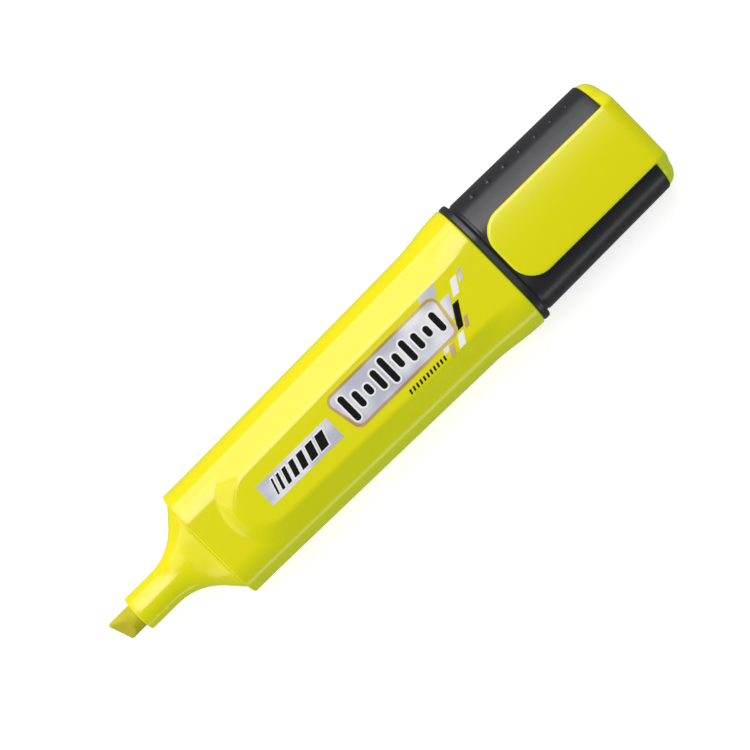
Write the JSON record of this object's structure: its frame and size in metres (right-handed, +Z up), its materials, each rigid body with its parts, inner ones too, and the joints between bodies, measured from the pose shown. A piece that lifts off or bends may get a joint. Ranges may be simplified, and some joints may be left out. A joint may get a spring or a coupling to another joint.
{
  "type": "highlighter pen",
  "caption": "Flat highlighter pen with a chisel nib and a waisted, panelled barrel, its clipped cap posted on the rear end.",
  "frame": {"origin": "centre of the footprint, on the surface the pen lies on", "axes": "+X along the pen from the nib to the closed end of the posted cap, +Y across the pen, +Z up through the printed face that carries the clip"},
  "size_m": [0.1322, 0.028, 0.0184],
  "materials": {
    "yellow_plastic": "fluorescent yellow, glossy, slightly translucent",
    "cap_plastic": "black, satin to glossy",
    "natural_plastic": "natural, unpigmented",
    "nib_felt": "pressed fibre wet with yellow ink",
    "ink_fibre": "fibre soaked with yellow ink",
    "clear_film": "thin clear film",
    "silver_foil": "stamped metallic foil",
    "bronze_foil": "stamped metallic foil",
    "black_ink": "printed ink",
    "white_ink": "printed ink"
  },
  "bodies": {
    "barrel": {"barrel": "yellow_plastic", "nose_section": "yellow_plastic", "chisel_nib": "nib_felt", "reservoir_core": "ink_fibre", "reservoir_film": "clear_film", "rear_plug": "yellow_plastic", "maker_panel": "silver_foil", "maker_halo": "white_ink", "maker_marks": "black_ink", "name_border": "bronze_foil", "name_panel": "silver_foil", "name_halo": "white_ink", "name_marks": "black_ink", "caption_marks": "black_ink", "stripes_silver": "silver_foil", "stripes_white": "white_ink", "stripes_black": "black_ink", "stripes_bronze": "bronze_foil"},
    "cap": {"cap_shell": "cap_plastic", "cap_top": "yellow_plastic", "inner_cap": "natural_plastic"},
    "clip": {"clip": "yellow_plastic"}
  },
  "joints": [
    {"name": "cap_slide", "type": "slide", "parent": "barrel", "child": "cap", "axis": [1, 0, 0], "range_m": [0, 0.045]},
    {"name": "clip_flex", "type": "hinge", "parent": "cap", "child": "clip", "pos_m": [0.06292, 0, 0.01843], "axis": [0, 1, 0], "range_deg": [0, 5], "stiffness_Nm_per_rad": 0.3}
  ]
}
